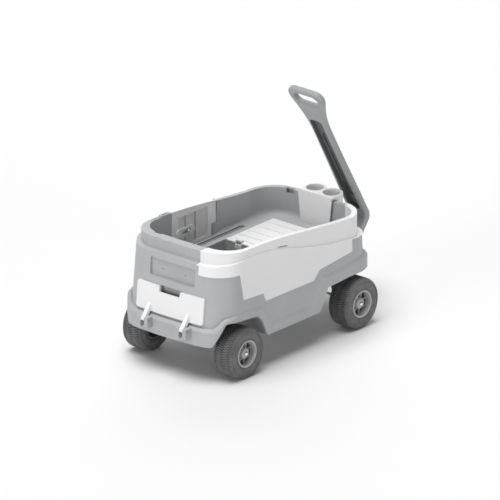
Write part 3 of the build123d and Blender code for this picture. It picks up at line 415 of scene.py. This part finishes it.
# ---- plan outlines and side-view lines of the body ------------------------------------------------
# A plan is (rear end, front end, half-width, bulge of the ends), from the middle of the wheelbase.
BODY_CORNER = 0.130
HULL_LOW_HEIGHT, HULL_LOW_PLAN = 0.140, (-0.531, 0.486, 0.290, 0.025)
HULL_HIGH_HEIGHT, HULL_HIGH_PLAN = 0.560, (-0.498, 0.482, 0.283, 0.018)
SKIRT_PLAN = (-0.543, 0.504, 0.296, 0.026)
CABIN_PLAN, CABIN_CORNER = (-0.435, 0.439, 0.259, 0.008), 0.110
FLOOR_HEIGHT = 0.391
CURVE_STEPS, SIDE_STEPS = 24, 160

# The skirt's edges in side view: (along from the middle of the wheelbase, height).
LOWER_EDGE = (
    (-0.700, 0.165), (-0.539, 0.168), (-0.495, 0.271), (-0.478, 0.275), (-0.296, 0.259), (-0.270, 0.235),
    (-0.235, 0.157), (-0.226, 0.150), (0.122, 0.150), (0.131, 0.161), (0.174, 0.246), (0.187, 0.251),
    (0.255, 0.253), (0.322, 0.257), (0.700, 0.257))
UPPER_EDGE = (
    (-0.700, 0.250), (-0.542, 0.250), (-0.534, 0.254), (-0.508, 0.287), (-0.494, 0.296), (-0.452, 0.303),
    (-0.376, 0.303), (-0.262, 0.298), (-0.248, 0.283), (-0.222, 0.238), (-0.198, 0.200), (0.061, 0.200),
    (0.074, 0.213), (0.100, 0.252), (0.141, 0.300), (0.154, 0.309), (0.261, 0.311), (0.376, 0.322),
    (0.700, 0.322))


def end_points(reach, half, bulge, corner):
    """Quarter of a plan: from the middle of a bowed end to the start of the straight side.

    Gives (outward distance, sideways distance, normal outward, normal sideways)."""
    bow = (half ** 2 + bulge ** 2) / (2 * bulge)
    bow_centre = reach + bulge - bow
    rise = half - corner
    fillet_centre = bow_centre + math.sqrt((bow - corner) ** 2 - rise ** 2)
    turn = math.asin(rise / (bow - corner))
    points = []
    for i in range(CURVE_STEPS):
        angle = turn * i / CURVE_STEPS
        out, across = math.cos(angle), math.sin(angle)
        points.append((bow_centre + bow * out, bow * across, out, across))
    for i in range(CURVE_STEPS + 1):
        angle = turn + (math.pi / 2 - turn) * i / CURVE_STEPS
        out, across = math.cos(angle), math.sin(angle)
        points.append((fillet_centre + corner * out, rise + corner * across, out, across))
    return points


def plan_points(plan, corner):
    """Whole closed plan as (x, y, normal x, normal y), from the middle of the front end, left side first."""
    rear, front, half, bulge = plan
    ahead = [(MID + a, b, c, d) for a, b, c, d in end_points(front, half, bulge, corner)]
    behind = [(MID - a, b, -c, d) for a, b, c, d in end_points(-rear, half, bulge, corner)]
    x_front, x_rear = ahead[-1][0], behind[-1][0]
    side = [(x_front + (x_rear - x_front) * i / SIDE_STEPS, half, 0.0, 1.0) for i in range(1, SIDE_STEPS)]
    left = ahead + side + behind[::-1]
    right = [(x, -y, c, -d) for x, y, c, d in left[-2:0:-1]]
    return left + right


def on_line(line, x):
    """Height and slope of a side-view line at a place along the wagon."""
    x -= MID
    for (x0, z0), (x1, z1) in zip(line, line[1:]):
        if x0 <= x <= x1:
            slope = (z1 - z0) / (x1 - x0)
            return z0 + slope * (x - x0), slope
    return (line[0] if x < line[0][0] else line[-1])[1], 0.0


def hull_point(index, height, low, high):
    """Point of the body's tapering side at a height."""
    t = (height - HULL_LOW_HEIGHT) / (HULL_HIGH_HEIGHT - HULL_LOW_HEIGHT)
    return tuple(low[index][k] + (high[index][k] - low[index][k]) * t for k in (0, 1))


# ---- bumper skirt with a sloping lip, hinge ears and arm slots ------------------------------------
LIP_DROP, LIP_INSET, SKIRT_TUCK = 0.013, 0.012, 0.005
FOOT_RADIUS, LIP_RADIUS = 0.003, 0.001
EAR_Y, EAR_THICK, EAR_SLOT = 0.109, 0.020, 0.020
PIN_X = MID - 0.589
# Outlines in side view: (along from the hinge pin, height).
ARM_SLOT_OUTLINE = ((-0.020, 0.216), (0.036, 0.216), (0.036, 0.262), (-0.020, 0.262))
EAR_OUTLINE = ((-0.011, 0.246), (0.040, 0.246), (0.040, 0.196), (-0.005, 0.196), (-0.011, 0.208))
EAR_BEVEL = 0.0025


def skirt_section(point, top, bottom, z_low, z_high, drop):
    """Closed cross-section of the band at one plan point, from its inner foot up to its inner top."""
    x, y, nx, ny = point
    inset = min(LIP_INSET, (x - top[0]) * nx + (y - top[1]) * ny)
    outside = (
        (FOOT_RADIUS, z_low),
        (0.0, z_low + FOOT_RADIUS),
        (0.0, z_high - drop - LIP_RADIUS),
        (LIP_RADIUS, z_high - drop + LIP_RADIUS),
        (inset - LIP_RADIUS, z_high - LIP_RADIUS),
        (inset + LIP_RADIUS, z_high),
    )
    return [
        (bottom[0] - nx * SKIRT_TUCK, bottom[1] - ny * SKIRT_TUCK, z_low),
        *((x - nx * back, y - ny * back, z) for back, z in outside),
        (top[0] - nx * SKIRT_TUCK, top[1] - ny * SKIRT_TUCK, z_high),
    ]


def make_skirt():
    """Bumper band that follows the wheel arches, with a lip that slopes to the body."""
    outer = plan_points(SKIRT_PLAN, BODY_CORNER)
    low, high = plan_points(HULL_LOW_PLAN, BODY_CORNER), plan_points(HULL_HIGH_PLAN, BODY_CORNER)
    vertices = []
    for i, point in enumerate(outer):
        z_low = on_line(LOWER_EDGE, point[0])[0]
        z_high, slope = on_line(UPPER_EDGE, point[0])
        drop = min(LIP_DROP * math.hypot(1, slope), 0.4 * (z_high - z_low))
        top, bottom = hull_point(i, z_high, low, high), hull_point(i, z_low, low, high)
        vertices += skirt_section(point, top, bottom, z_low, z_high, drop)
    columns = len(vertices) // len(outer)
    band = new_object("skirt_band", vertices, grid_faces(len(outer), columns, True, True))
    arm_slot = [(PIN_X + along, z) for along, z in ARM_SLOT_OUTLINE]
    ear_outline = [(PIN_X + along, z) for along, z in EAR_OUTLINE]
    cutters, ears = [], []
    for side in (-1, 1):
        middle = side * EAR_Y
        cutters.append(side_prism("cut", arm_slot, middle - EAR_SLOT / 2, middle + EAR_SLOT / 2))
        for ear in (-1, 1):
            y = middle + ear * (EAR_SLOT + EAR_THICK) / 2
            ears.append(side_prism("ear", ear_outline, y - EAR_THICK / 2, y + EAR_THICK / 2, EAR_BEVEL))
    bake_cut(band, *cutters)
    skirt = merge([band] + ears, "skirt_bumper")
    shade_by_angle(skirt, 14)
    finish_piece(skirt, "body_grey", "chassis")
    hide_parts("skirt")


make_skirt()


# ---- two small fills: the front rim's right pocket, and the wall behind the hatch's finger gap ----
def box_outline(x_low, x_high, z_low, z_high):
    """Side-view outline of an upright box."""
    return [(x_low, z_low), (x_high, z_low), (x_high, z_high), (x_low, z_high)]


fill_outline = box_outline(MID + 0.4436, MID + 0.456, 0.494, 0.5258)
rim_fill = side_prism("rim_fill", fill_outline, -0.1705, -0.1295, 0.0008)
finish_piece(rim_fill, "body_grey", "chassis")

pocket_wall = side_prism("pocket_wall", box_outline(-0.5858, -0.5815, 0.334, 0.360), -0.0600, 0.0600)
finish_piece(pocket_wall, "body_grey", "chassis")


# ---- cabin floor with wide, shallow drain channels ------------------------------------------------
CHANNEL_INNER, CHANNEL_OUTER, CHANNEL_DEPTH = 0.218, 0.242, 0.006
CHANNEL_REAR, CHANNEL_FRONT, CHANNEL_SLOPE = MID - 0.330, MID + 0.230, 0.004
CUT_ABOVE = 0.01


def copy_of(node, name):
    """Copy of a CAD piece as a new mesh object in the shared frame."""
    piece = bpy.data.objects.new(name, NODES[node].data.copy())
    bpy.context.scene.collection.objects.link(piece)
    return piece


def make_deck():
    """Cabin floor with its drain channels widened to the photographed width."""
    deck = copy_of("cargo_deck", "cabin_floor")
    low, high = FLOOR_HEIGHT - CHANNEL_DEPTH, FLOOR_HEIGHT + CUT_ABOVE
    outline = [(CHANNEL_REAR, low), (CHANNEL_FRONT - CHANNEL_SLOPE, low), (CHANNEL_FRONT, high),
               (CHANNEL_REAR, high)]
    right = side_prism("cut", outline, -CHANNEL_OUTER, -CHANNEL_INNER)
    left = side_prism("cut", outline, CHANNEL_INNER, CHANNEL_OUTER)
    bake_cut(deck, right, left)
    finish_piece(deck, "body_grey", "chassis")
    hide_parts("cargo_deck")
    soften(deck, 0.002)


make_deck()


# ---- cove where the cabin floor turns up into the walls -------------------------------------------
COVE_SIDE, COVE_FRONT = 0.013, 0.027  # radius along the sides and round the front
COVE_GROWS = (MID + 0.20, MID + 0.40)  # where one turns into the other
COVE_TAPER, COVE_END = 0.05, 0.05  # length of the tapered ends, and what is left of the radius there
COVE_SUNK, COVE_STEPS = 0.001, 8
DOORWAY = (MID - 0.214, MID + 0.054)
DOORWAY_SIDE = 0.25


def in_doorway(point):
    """Whether a point of the cabin's plan lies on the door's threshold."""
    return point[1] > DOORWAY_SIDE and DOORWAY[0] < point[0] < DOORWAY[1]


def make_cove():
    """Curved fillet round the cabin floor, left out across the doorway."""
    path = plan_points(CABIN_PLAN, CABIN_CORNER)
    start = next(i for i in range(len(path)) if in_doorway(path[i - 1]) and not in_doorway(path[i]))
    run = [point for point in path[start:] + path[:start] if not in_doorway(point)]
    vertices = []
    for x, y, nx, ny in run:
        from_end = min(math.dist((x, y), end[:2]) for end in (run[0], run[-1]))
        radius = COVE_SIDE + (COVE_FRONT - COVE_SIDE) * smooth_step(*COVE_GROWS, x)
        radius *= COVE_END + (1 - COVE_END) * smooth_step(0.0, COVE_TAPER, from_end)
        section = [(-COVE_SUNK, -COVE_SUNK), (-COVE_SUNK, radius)]
        for k in range(COVE_STEPS + 1):
            angle = math.pi / 2 * k / COVE_STEPS
            section.append((radius * (1 - math.cos(angle)), radius * (1 - math.sin(angle))))
        section.append((radius, -COVE_SUNK))
        vertices += [(x - nx * inset, y - ny * inset, FLOOR_HEIGHT + rise) for inset, rise in section]
    columns = len(vertices) // len(run)
    faces = grid_faces(len(run), columns, False, True)
    faces.append(tuple(range(columns)))
    faces.append(tuple(range(len(vertices) - columns, len(vertices))))
    cove = new_object("deck_cove", vertices, faces)
    shade_by_angle(cove, 40)
    finish_piece(cove, "body_grey", "chassis")


make_cove()


# ---- wheels: block-tread tyres and dished spoked rims ---------------------------------------------
WHEELS = ("rear_left", "rear_right", "front_left", "front_right")
TYRE_RADIUS, TYRE_IN, TYRE_OUT, SHOULDER = 0.115, 0.205, 0.314, 0.022
# Tyre wall from the bead to the shoulder: (inwards from the side face, radius).
INNER_WALL = ((0.009, 0.0620), (0.003, 0.066), (0.0005, 0.074), (0.0, 0.082), (0.0, 0.089))
OUTER_WALL = ((0.006, 0.0620), (0.003, 0.066), (0.0005, 0.074), (0.0, 0.082), (0.0, 0.089))
SHOULDER_STEPS, CROWN_STEPS = 14, 34
LUG_DEPTH = 0.0045
LUG_ROWS, LUGS_AROUND, STEPS_PER_LUG = 4, 64, 10
# How far the grooves wander: those between rows, in rows, and those between lugs, in lugs.
ROW_WAVE, LUG_WAVE = 0.07, 0.24
ROW_GROOVE, LUG_GROOVE = (0.0, 0.035), (0.09, 0.20)  # where a lug's flanks start and end
TREAD_FADE = (0.02, 0.09)  # where the lugs start and are full, from either side of the tread
SHOULDER_SINK, SHOULDER_FADE = 0.6, 0.05  # share of the lug depth, and of the tread's width


def tread_path():
    """Cross-section of the tyre, from its inner bead over the tread to its outer bead.

    Gives (across, radius, normal across, normal radial, place on the tread from 0 to 1, or None)."""
    half = (TYRE_OUT - TYRE_IN) / 2
    shoulder = []
    for i in range(SHOULDER_STEPS + 1):
        angle = math.pi / 2 * i / SHOULDER_STEPS
        out, up = math.cos(angle), math.sin(angle)
        shoulder.append((-half + SHOULDER * (1 - out), TYRE_RADIUS - SHOULDER * (1 - up), -out, up))
    flat = 2 * (half - SHOULDER)
    start = -half + SHOULDER
    crown = [(start + flat * i / CROWN_STEPS, TYRE_RADIUS, 0.0, 1.0) for i in range(1, CROWN_STEPS)]
    tread = shoulder + crown + [(-a, r, -na, nr) for a, r, na, nr in reversed(shoulder)]
    lengths = [0.0]
    for p, q in zip(tread, tread[1:]):
        lengths.append(lengths[-1] + math.hypot(q[0] - p[0], q[1] - p[1]))
    inner = [(-half + inset, radius, -1.0, 0.0, None) for inset, radius in INNER_WALL]
    outer = [(half - inset, radius, 1.0, 0.0, None) for inset, radius in reversed(OUTER_WALL)]
    return inner + [(*p, length / lengths[-1]) for p, length in zip(tread, lengths)] + outer


def to_end(share):
    """How far a value from 0 to 1 is from the nearer end."""
    return min(share, 1 - share)


def lug_height(place, around):
    """1 on a tread lug and 0 in the grooves. place runs 0 to 1 across the tread, around counts lugs."""
    rows = place * LUG_ROWS + ROW_WAVE * math.sin(2 * math.pi * around)
    row = math.floor(rows)
    in_row = rows - row
    wave = LUG_WAVE * math.sin(2 * math.pi * in_row) * (1 if row % 2 else -1)
    in_lug = (around + 0.5 * (row % 2) + wave) % 1.0
    lug = smooth_step(*ROW_GROOVE, to_end(in_row)) * smooth_step(*LUG_GROOVE, to_end(in_lug))
    return lug * smooth_step(*TREAD_FADE, to_end(place))


def make_tyre(wheel):
    """Tyre with wavy block tread, carried by one wheel."""
    side = 1 if wheel.endswith("left") else -1
    low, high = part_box("tyre_" + wheel)
    centre = Vector(((low[0] + high[0]) / 2, side * (TYRE_IN + TYRE_OUT) / 2, AXLE_HEIGHT))
    path = tread_path()
    around_steps = LUGS_AROUND * STEPS_PER_LUG
    vertices = []
    for k in range(around_steps):
        angle = 2 * math.pi * k / around_steps
        for across, radius, n_across, n_radial, place in path:
            sink = 0.0
            if place is not None:
                sink = LUG_DEPTH * (lug_height(place, k / STEPS_PER_LUG) - 1)
                sink += SHOULDER_SINK * LUG_DEPTH * (1 - smooth_step(0.0, SHOULDER_FADE, to_end(place)))
            r = radius + n_radial * sink
            a = across + n_across * sink
            vertices.append(centre + Vector((r * math.cos(angle), side * a, r * math.sin(angle))))
    faces = grid_faces(around_steps, len(path), True, True)
    tyre = new_object("tyre_tread_" + wheel, vertices, faces)
    finish_piece(tyre, "tyre", "wheel_" + wheel)
    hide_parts("tyre_" + wheel)


# Closed profiles turned round the axle: (distance from the wagon's middle plane, radius).
FLANGE_PROFILE = (
    (0.212, 0.0555), (0.212, 0.0610), (0.300, 0.0616), (0.3105, 0.0622), (0.3125, 0.0612),
    (0.3130, 0.0585), (0.3122, 0.0556), (0.3060, 0.0540), (0.2940, 0.0532), (0.2700, 0.0522),
    (0.2680, 0.0550), (0.2400, 0.0555))
HUB_PROFILE = (
    (0.213, 0.0100), (0.213, 0.0235), (0.2700, 0.0240), (0.2900, 0.0240), (0.2985, 0.0235), (0.3012, 0.0215),
    (0.3020, 0.0190), (0.3005, 0.0165), (0.3003, 0.0125), (0.3010, 0.0100))
BACK_PROFILE = ((0.262, 0.0235), (0.262, 0.0560), (0.266, 0.0560), (0.266, 0.0235))
RIM_TURNS = 96
SPOKES, FIRST_SPOKE = 8, 0.2  # count, and the first one's angle in radians
# Spoke sections from hub to flange: (radius, half-width, face's distance from the middle plane).
SPOKE_SECTIONS = (
    (0.0225, 0.0042, 0.2935), (0.030, 0.0034, 0.2905), (0.043, 0.0030, 0.2865), (0.0540, 0.0046, 0.2840))
SPOKE_BACK, SPOKE_CHAMFER, SPOKE_RIB = 0.272, 0.0025, 0.45  # the last is a share of the half-width


def turned(centre, side, profile):
    """Vertices and faces of a closed profile turned round the axle."""
    vertices = []
    for k in range(RIM_TURNS):
        angle = 2 * math.pi * k / RIM_TURNS
        for out, radius in profile:
            vertices.append(Vector((centre.x + radius * math.cos(angle), side * out,
                                    centre.z + radius * math.sin(angle))))
    return vertices, grid_faces(RIM_TURNS, len(profile), True, True)


def spoke(centre, side, angle):
    """One tapering spoke with a raised rib along its middle."""
    way = Vector((math.cos(angle), 0, math.sin(angle)))
    across = Vector((-math.sin(angle), 0, math.cos(angle)))
    vertices = []
    for radius, half, face in SPOKE_SECTIONS:
        rib, flank = half * SPOKE_RIB, face - SPOKE_CHAMFER
        for a, out in ((-half, SPOKE_BACK), (-half, flank), (-rib, face), (rib, face), (half, flank),
                       (half, SPOKE_BACK)):
            vertices.append(centre + way * radius + across * a + Vector((0, side * out, 0)))
    columns = len(vertices) // len(SPOKE_SECTIONS)
    faces = grid_faces(len(SPOKE_SECTIONS), columns, False, True)
    faces.append(tuple(range(columns)))
    faces.append(tuple(range(len(vertices) - columns, len(vertices))))
    return vertices, faces


def join_parts(parts):
    """Put several (vertices, faces) sets in one list."""
    vertices, faces = [], []
    for part_vertices, part_faces in parts:
        start = len(vertices)
        vertices += part_vertices
        faces += [tuple(i + start for i in face) for face in part_faces]
    return vertices, faces


def make_rim(wheel):
    """Dished rim: outer flange, eight spokes, hub barrel and back plate."""
    side = 1 if wheel.endswith("left") else -1
    low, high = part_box("rim_" + wheel)
    centre = Vector(((low[0] + high[0]) / 2, 0, AXLE_HEIGHT))
    parts = [turned(centre, side, profile) for profile in (FLANGE_PROFILE, HUB_PROFILE, BACK_PROFILE)]
    parts += [spoke(centre, side, 2 * math.pi * k / SPOKES + FIRST_SPOKE) for k in range(SPOKES)]
    rim = new_object("rim_dish_" + wheel, *join_parts(parts))
    shade_by_angle(rim, 38)
    finish_piece(rim, "rim_grey", "wheel_" + wheel)
    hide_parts("rim_" + wheel)


for wheel in WHEELS:
    make_tyre(wheel)
    make_rim(wheel)


# ---- camera, light and floor ----------------------------------------------------------------------
FLOOR_REACH, FLOOR_GREY = 30, 0.83
WORLD_STRENGTH = 0.20
AZIMUTH, ELEVATION = math.radians(-49.66), math.radians(21.67)
AIM = Vector((-0.0755, 0.0, 0.4055))
FRAME_WIDTH, CAMERA_DISTANCE = 2.175, 6.0
LEVEL = math.cos(ELEVATION)
forward = Vector((-math.sin(AZIMUTH) * LEVEL, math.cos(AZIMUTH) * LEVEL, -math.sin(ELEVATION)))

camera_data = bpy.data.cameras.new("camera")
camera_data.type = "ORTHO"
camera_data.ortho_scale = FRAME_WIDTH
camera_data.clip_end = 50
camera = bpy.data.objects.new("camera", camera_data)
camera.location = AIM - forward * CAMERA_DISTANCE
camera.rotation_euler = forward.to_track_quat("-Z", "Y").to_euler()
bpy.context.scene.collection.objects.link(camera)
bpy.context.scene.camera = camera


def sun(name, azimuth, elevation, softness, strength):
    """Soft parallel light. Azimuth is where it comes from, counted from -Y towards +X, in degrees."""
    data = bpy.data.lights.new(name, "SUN")
    data.angle = math.radians(softness)
    data.energy = strength * math.pi
    light = bpy.data.objects.new(name, data)
    turn, rise = math.radians(azimuth), math.radians(elevation)
    towards = Vector((math.sin(turn) * math.cos(rise), -math.cos(turn) * math.cos(rise), math.sin(rise)))
    light.rotation_euler = towards.to_track_quat("Z", "Y").to_euler()
    bpy.context.scene.collection.objects.link(light)


sun("top_key", -100, 80, 42, 0.82)
sun("rear_fill", -95, 6, 24, 0.36)
sun("side_fill", -10, 4, 20, 0.19)
sun("edge_light", 130, 28, 50, 0.28)

world = bpy.data.worlds.new("studio")
bpy.context.scene.world = world
world.use_nodes = True
world.node_tree.nodes["Background"].inputs["Color"].default_value = (1, 1, 1, 1)
world.node_tree.nodes["Background"].inputs["Strength"].default_value = WORLD_STRENGTH
bpy.context.scene.view_settings.view_transform = "Standard"

floor_mesh = bpy.data.meshes.new("floor")
corners = [(FLOOR_REACH * x, FLOOR_REACH * y, 0) for x, y in ((-1, -1), (1, -1), (1, 1), (-1, 1))]
floor_mesh.from_pydata(corners, [], [(0, 1, 2, 3)])
floor = bpy.data.objects.new("floor", floor_mesh)
bpy.context.scene.collection.objects.link(floor)
floor_material, _, floor_shader, _ = new_material("floor_white")
floor_shader.inputs["Base Color"].default_value = (FLOOR_GREY, FLOOR_GREY, FLOOR_GREY, 1)
floor_shader.inputs["Roughness"].default_value = 0.9
floor_mesh.materials.append(floor_material)
